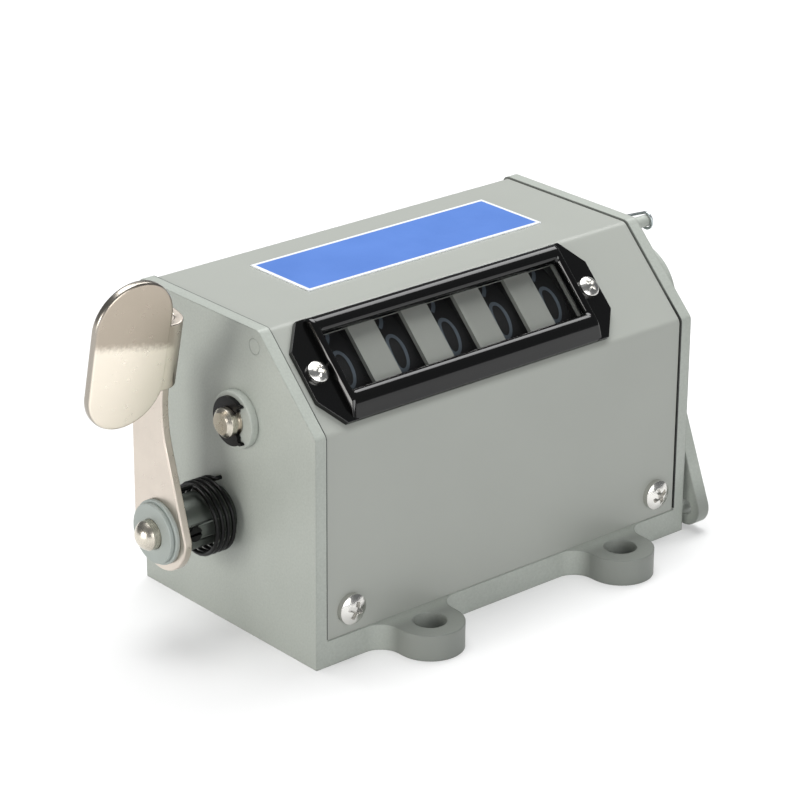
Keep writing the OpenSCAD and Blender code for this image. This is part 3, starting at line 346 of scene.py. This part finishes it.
def tube(name, path, r, slot, sides=12):
    """Round wire along a path, its rings carried along without twist."""
    pts = [Vector(p) for p in path]
    n = len(pts)
    tangent = [(pts[min(i + 1, n - 1)] - pts[max(i - 1, 0)]).normalized() for i in range(n)]
    side = tangent[0].orthogonal().normalized()
    verts, faces = [], []
    for i in range(n):
        side = (side - side.dot(tangent[i]) * tangent[i]).normalized()
        other = tangent[i].cross(side)
        for s in range(sides):
            a = 2 * math.pi * s / sides
            verts.append(pts[i] + r * (math.cos(a) * side + math.sin(a) * other))
    for i in range(n - 1):
        for s in range(sides):
            t = (s + 1) % sides
            faces.append((i * sides + s, i * sides + t, (i + 1) * sides + t, (i + 1) * sides + s))
    faces.append(tuple(reversed(range(sides))))
    faces.append(tuple(range((n - 1) * sides, n * sides)))
    return add_mesh(name, verts, faces, slot)


def figures(wheel):
    """The ten figures of one wheel, wrapped on its drum as thin closed plates."""
    verts, faces = [], []
    for digit in range(10):
        curve = bpy.data.curves.new("figure", "FONT")
        curve.body = str(digit)
        curve.align_x = "CENTER"
        curve.align_y = "CENTER"
        curve.resolution_u = 8
        curve.offset = -0.012
        obj = bpy.data.objects.new("figure", curve)
        bpy.context.scene.collection.objects.link(obj)
        bpy.context.view_layer.update()
        mesh = obj.evaluated_get(bpy.context.evaluated_depsgraph_get()).to_mesh()
        flat = bmesh.new()
        flat.from_mesh(mesh)
        bmesh.ops.triangulate(flat, faces=flat.faces[:])
        bmesh.ops.subdivide_edges(flat, edges=[e for e in flat.edges if e.calc_length() > 0.12], cuts=3)
        bmesh.ops.triangulate(flat, faces=flat.faces[:])
        xs = [v.co.x for v in flat.verts]
        ys = [v.co.y for v in flat.verts]
        mid = ((min(xs) + max(xs)) / 2, (min(ys) + max(ys)) / 2)
        tall = FIGURE_H / (max(ys) - min(ys))
        wide = min(tall, FIGURE_W / (max(xs) - min(xs)))
        base = len(verts)
        for r in (WHEEL_R + FIGURE_RAISE, WHEEL_R - FIGURE_SINK):
            for v in flat.verts:
                x = WHEEL_X[wheel] + (v.co.x - mid[0]) * wide + FIGURE_SHIFT
                a = math.radians(FIGURE_ANGLE + FIGURE_STEP * digit) - (v.co.y - mid[1]) * tall / WHEEL_R
                verts.append((x, SHAFT[0] + r * math.cos(a), SHAFT[1] + r * math.sin(a)))
        flat.verts.index_update()
        under = len(flat.verts)
        for f in flat.faces:
            ids = [base + v.index for v in f.verts]
            faces += [tuple(ids), tuple(i + under for i in reversed(ids))]
        for loop in (e.link_loops[0] for e in flat.edges if e.is_boundary):
            a, b = base + loop.vert.index, base + loop.link_loop_next.vert.index
            faces.append((b, a, a + under, b + under))
        flat.free()
        bpy.data.objects.remove(obj)
        bpy.data.curves.remove(curve)
    obj = add_mesh("figures_" + wheel, verts, faces, "figure_print", smooth=False)
    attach(obj, wheel)


for wheel in WHEEL_X:
    figures(wheel)


def reset_spring():
    """Black torsion coil round the bush, from the wall to the lever."""
    r, wire, coils, pitch, turn = 7.2, 0.9, 4, 1.36, 32
    lever = LEVER_X + LEVER_T
    first = LEFT_WALL_X - wire - 0.5
    path = [(LEFT_WALL_X, 0.0), (LEFT_WALL_X - wire, 0.0)]
    path += [(first - pitch * i / turn, 360.0 * i / turn) for i in range(turn * coils + 1)]
    end = path[-1]
    path += [(end[0] - 0.5, end[1]), (lever + wire, end[1]), (lever, end[1])]
    points = []
    for x, angle in path:
        a = math.radians(angle)
        points.append((x, RESET[0] + r * math.sin(a), RESET[1] + r * math.cos(a)))
    obj = tube("reset_coil", points, wire / 2, "black_steel")
    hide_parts("reset_spring")
    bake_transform(obj)


def return_spring():
    """Zinc tension coil between the wall's post and the arm's ear."""
    r, wire, coils, leg, x0, loop = 1.7, 0.6, 5, 7.5, 54.3, 240
    start = Vector((x0, *POST))
    stop = Vector((x0, *EAR))
    d = (stop - start).normalized()
    e = Vector((0, -d.z, d.y))
    x = Vector((1, 0, 0))
    span = (stop - start).length
    pitch = (span - 2 * leg) / coils

    def ring(centre, a):
        return centre + r * (math.cos(math.radians(a)) * e + math.sin(math.radians(a)) * d)

    path = [ring(start, a) for a in range(-loop, 1, 15)]
    path += [start + (leg + pitch * i / 24) * d
             + r * (math.cos(math.radians(15 * i)) * e + math.sin(math.radians(15 * i)) * x)
             for i in range(24 * coils + 1)]
    path += [ring(stop, a) for a in range(0, loop + 1, 15)]
    obj = tube("return_coil", path, wire / 2, "zinc_plate")
    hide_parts("return_spring")
    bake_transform(obj)


reset_spring()
return_spring()


def loft(rings, verts, faces, hoop=False):
    """Join closed rings of equal length into a skin, with both ends shut or, for a hoop, joined."""
    base, n = len(verts), len(rings[0])
    for ring in rings:
        verts += ring
    for i in range(len(rings) - (0 if hoop else 1)):
        here, there = base + i * n, base + (i + 1) % len(rings) * n
        for k in range(n):
            j = (k + 1) % n
            faces.append((here + k, here + j, there + j, there + k))
    if not hoop:
        faces.append(tuple(base + k for k in reversed(range(n))))
        faces.append(tuple(base + (len(rings) - 1) * n + k for k in range(n)))


def fillet(a, p, b, r, steps=8):
    """Points of a round of radius r at the corner p between a and b."""
    a, p, b = Vector(a), Vector(p), Vector(b)
    u, v = (a - p).normalized(), (b - p).normalized()
    half = u.angle(v) / 2
    centre = p + (u + v).normalized() * (r / math.sin(half))
    first = p + u * (r / math.tan(half)) - centre
    last = p + v * (r / math.tan(half)) - centre
    turn = first.angle_signed(last)
    start = math.atan2(first.y, first.x)
    return [centre + r * Vector((math.cos(start - turn * i / steps), math.sin(start - turn * i / steps)))
            for i in range(steps + 1)]


def thumb_lever():
    """Reset lever: flat arm, folded edge and a thumb pad with a rounded rim."""
    x0, t, fold, lean = LEVER_X, LEVER_T, 3.3, PAD_LEAN
    width, height, gap, low, high = 17.7, 31.7, 2.5, 9.9, 4.6
    mid = Vector((x0 - gap - width / 2, RESET[0] - 8.0, RESET[1] + 41.7))
    up = Vector((0, -math.sin(lean), math.cos(lean)))
    out = Vector((0, -math.cos(lean), -math.sin(lean)))
    verts, faces = [], []

    def pad_point(x, v, z):
        return tuple(mid + Vector((x, 0, 0)) + v * up + z * out)

    def pad_ring(inset, z):
        r, straight, ring = width / 2 - inset, (height - width) / 2, []
        for k in range(96):
            a = 2 * math.pi * (k + 0.5) / 96
            ring.append(pad_point(r * math.cos(a), r * math.sin(a) + math.copysign(straight, math.sin(a)), z))
        return ring

    roll = 0.6
    edge = [(8.4, 0.0), (1.2, 0.0), (roll + 0.1, 0.0)]
    edge += [(roll * (1 - math.sin(a)), roll * (math.cos(a) - 1))
             for a in (math.pi / 12 * k for k in range(7))]
    back = [(i, -t - z) for i, z in reversed(edge)]
    loft([pad_ring(i, z) for i, z in edge + back], verts, faces)

    reach = gap + width / 2
    bend = reach + t - fold
    profile = [(bend - 3, 0)] + [(bend + fold * math.sin(a), fold * (math.cos(a) - 1))
                                 for a in (math.pi / 20 * k for k in range(11))]
    profile += [(bend + fold, -fold - 2), (bend + fold - t, -fold - 2)]
    profile += [(bend + (fold - t) * math.sin(a), (fold - t) * math.cos(a) - fold)
                for a in (math.pi / 20 * k for k in range(10, -1, -1))]
    profile.append((bend - 3, -t))
    sink = 0.02
    loft([[pad_point(x - sink, v, z - sink) for x, z in profile] for v in (high, -low)], verts, faces)

    foot, top = (-2.604, 32.768), (-5.792, 46.913)
    corners = [((-8, 0), 0), ((-0.8, 23.5), 28), ((foot[0] + 0.6, foot[1] - 0.6), 1.6), (foot, 0), (top, 0),
               ((8.2, 29.5), 9), ((8.2, 0), 0)]
    outline = []
    for k, (p, r) in enumerate(corners):
        around = (corners[k - 1][0], corners[(k + 1) % len(corners)][0])
        outline += fillet(around[0], p, around[1], r) if r else [Vector(p)]
    eye_r = 8.1
    outline += [Vector((eye_r * math.cos(a), eye_r * math.sin(a)))
                for a in (-math.pi / 32 * k for k in range(1, 32))]
    loft([[(x, RESET[0] + p.x, RESET[1] + p.y) for p in outline] for x in (x0, x0 + t)], verts, faces)

    obj = add_mesh("thumb_lever", verts, faces, "nickel_plate")
    soften(obj, 0.4)
    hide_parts("reset_lever")
    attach(obj, "reset")


def window_frame():
    """Moulded bezel: flat tabs under a frame of rounded bars."""
    along = Vector((0, 1, 1)).normalized()
    out = Vector((0, -1, 1)).normalized()
    mid = Vector(BEZEL_MID) + BEZEL_RISE * along
    verts, faces = [], []

    def point(x, s, z):
        return tuple(mid + Vector((x, 0, 0)) + s * along + z * out)

    end, w, cut_x, cut_y, root, tab_t = 38.45, 11.15, 4.2, 5.6, 31.5, 1.2
    tab = [(root, -w), (end - cut_x, -w), (end, cut_y - w), (end, w - cut_y), (end - cut_x, w), (root, w)]
    for side in (1, -1):
        plan = [(side * x, side * s) for x, s in tab]
        loft([[point(x, s, z) for x, s in plan] for z in (0.0, tab_t)], verts, faces)

    # Half length, lower edge, upper edge and height of each ring: foot, crest, opening and lens seat
    bars = [
        (32.6, -w, w, 0.0), (32.6, -11.05, 11.0, 1.1), (32.55, -10.1, 10.9, 1.7), (32.45, -9.33, 10.7, 2.2),
        (32.3, -8.68, 10.35, 2.62), (32.1, -8.2, 9.9, 2.93), (31.85, -7.7, 9.4, 3.12),
        (31.6, -7.1, 8.9, 3.2), (31.35, -6.6, 8.4, 3.15), (31.1, -6.1, 7.9, 2.95), (30.9, -5.7, 7.5, 2.65),
        (30.75, -5.4, 7.2, 2.25), (30.65, -5.25, 7.05, 1.8), (30.65, -5.25, 7.05, 1.02),
        (32.35, -6.95, 8.75, 1.02), (32.35, -6.95, 8.75, 0.0),
    ]
    r = 0.7
    rings = []
    for half, low, high, z in bars:
        ring = []
        for cx, cy, a0 in ((half, high, 0), (-half, high, 90), (-half, low, 180), (half, low, 270)):
            sx, sy = math.copysign(r, cx), math.copysign(r, cy)
            for k in range(7):
                a = math.radians(a0 + 15 * k)
                ring.append(point(cx - sx + r * math.cos(a), cy - sy + r * math.sin(a), z))
        rings.append(ring)
    loft(rings, verts, faces, hoop=True)

    obj = add_mesh("window_frame", verts, faces, "black_moulding")
    soften(obj, 0.3)
    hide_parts("bezel")
    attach(obj, "housing")


thumb_lever()
window_frame()


# Floor, light and camera

def backdrop_material():
    """Pale floor that reads white to the eye and in reflections, and still takes the shadow."""
    m = Mat("backdrop", Roughness=0.9)
    m.colour(m.ramp(m.noise(3, 2), [(0.3, (0.62, 0.62, 0.62)), (0.7, (0.64, 0.64, 0.64))]))
    path = m.node("LightPath")
    seen = path.outputs["Is Camera Ray"]
    for kind in ("Is Glossy Ray", "Is Transmission Ray"):
        seen = m.math("MAXIMUM", seen, path.outputs[kind])
    away = m.node("VectorMath", operation="LENGTH")
    m.link(m.coords, away.inputs[0])
    glow = m.math("MULTIPLY", seen, m.span(away.outputs["Value"], 0.2, 1.0, 0.3, 0.85))
    m.shader.inputs["Emission Color"].default_value = (1, 1, 1, 1)
    m.link(glow, m.shader.inputs["Emission Strength"])
    return m.mat


bpy.ops.mesh.primitive_plane_add(size=6)
floor = bpy.context.object
floor.name = "floor"
floor.data.materials.append(backdrop_material())

world = bpy.data.worlds.new("studio")
bpy.context.scene.world = world
world.use_nodes = True
back = world.node_tree.nodes["Background"]
back.inputs["Color"].default_value = (0.9, 0.93, 0.96, 1)
back.inputs["Strength"].default_value = 0.18


def lamp(name, at, target, power, size, colour=(1, 1, 1)):
    """A rectangular lamp turned to its target."""
    data = bpy.data.lights.new(name, "AREA")
    data.energy = power
    data.shape = "RECTANGLE"
    data.size, data.size_y = size
    data.color = colour
    obj = bpy.data.objects.new(name, data)
    bpy.context.scene.collection.objects.link(obj)
    at, target = Vector(at), Vector(target)
    obj.matrix_world = Matrix.Translation(at) @ (target - at).to_track_quat("-Z", "Y").to_matrix().to_4x4()


MID = (0, 0, 0.04)
lamp("key", (-0.20, -0.85, 0.30), MID, 3.8, (0.7, 0.4))
lamp("top", (0.05, 0.20, 1.0), MID, 10.6, (0.7, 0.7))
lamp("right", (0.62, 0.18, 0.82), MID, 3.0, (0.45, 0.45))
lamp("left", (-0.85, 0.02, 0.16), MID, 3.3, (0.4, 0.3), (1.0, 0.98, 0.95))

# Camera fitted to the photograph: degrees, millimetres and pixels
AZ, EL, ROLL = math.radians(-40.795), math.radians(22.863), math.radians(0.376)
DIST, SIDE, RISE, FOCAL_PX = 664.661, -3.926, 31.789, 3184.502
PICTURE_PX, SENSOR = 800, 36
zc = Vector((math.sin(AZ) * math.cos(EL), -math.cos(AZ) * math.cos(EL), math.sin(EL)))
xc = Vector((0, 0, 1)).cross(zc).normalized()
yc = zc.cross(xc)
xr = xc * math.cos(ROLL) + yc * math.sin(ROLL)
yr = yc * math.cos(ROLL) - xc * math.sin(ROLL)
place = (zc * DIST + xr * SIDE + yr * RISE) * MM
camera_data = bpy.data.cameras.new("camera")
camera_data.sensor_width = SENSOR
camera_data.lens = SENSOR * FOCAL_PX / PICTURE_PX
camera_data.clip_start = 0.01
camera = bpy.data.objects.new("camera", camera_data)
bpy.context.scene.collection.objects.link(camera)
camera.matrix_world = Matrix((
    (xr.x, yr.x, zc.x, place.x), (xr.y, yr.y, zc.y, place.y), (xr.z, yr.z, zc.z, place.z), (0, 0, 0, 1)))
bpy.context.scene.camera = camera
bpy.context.scene.view_settings.view_transform = "Standard"
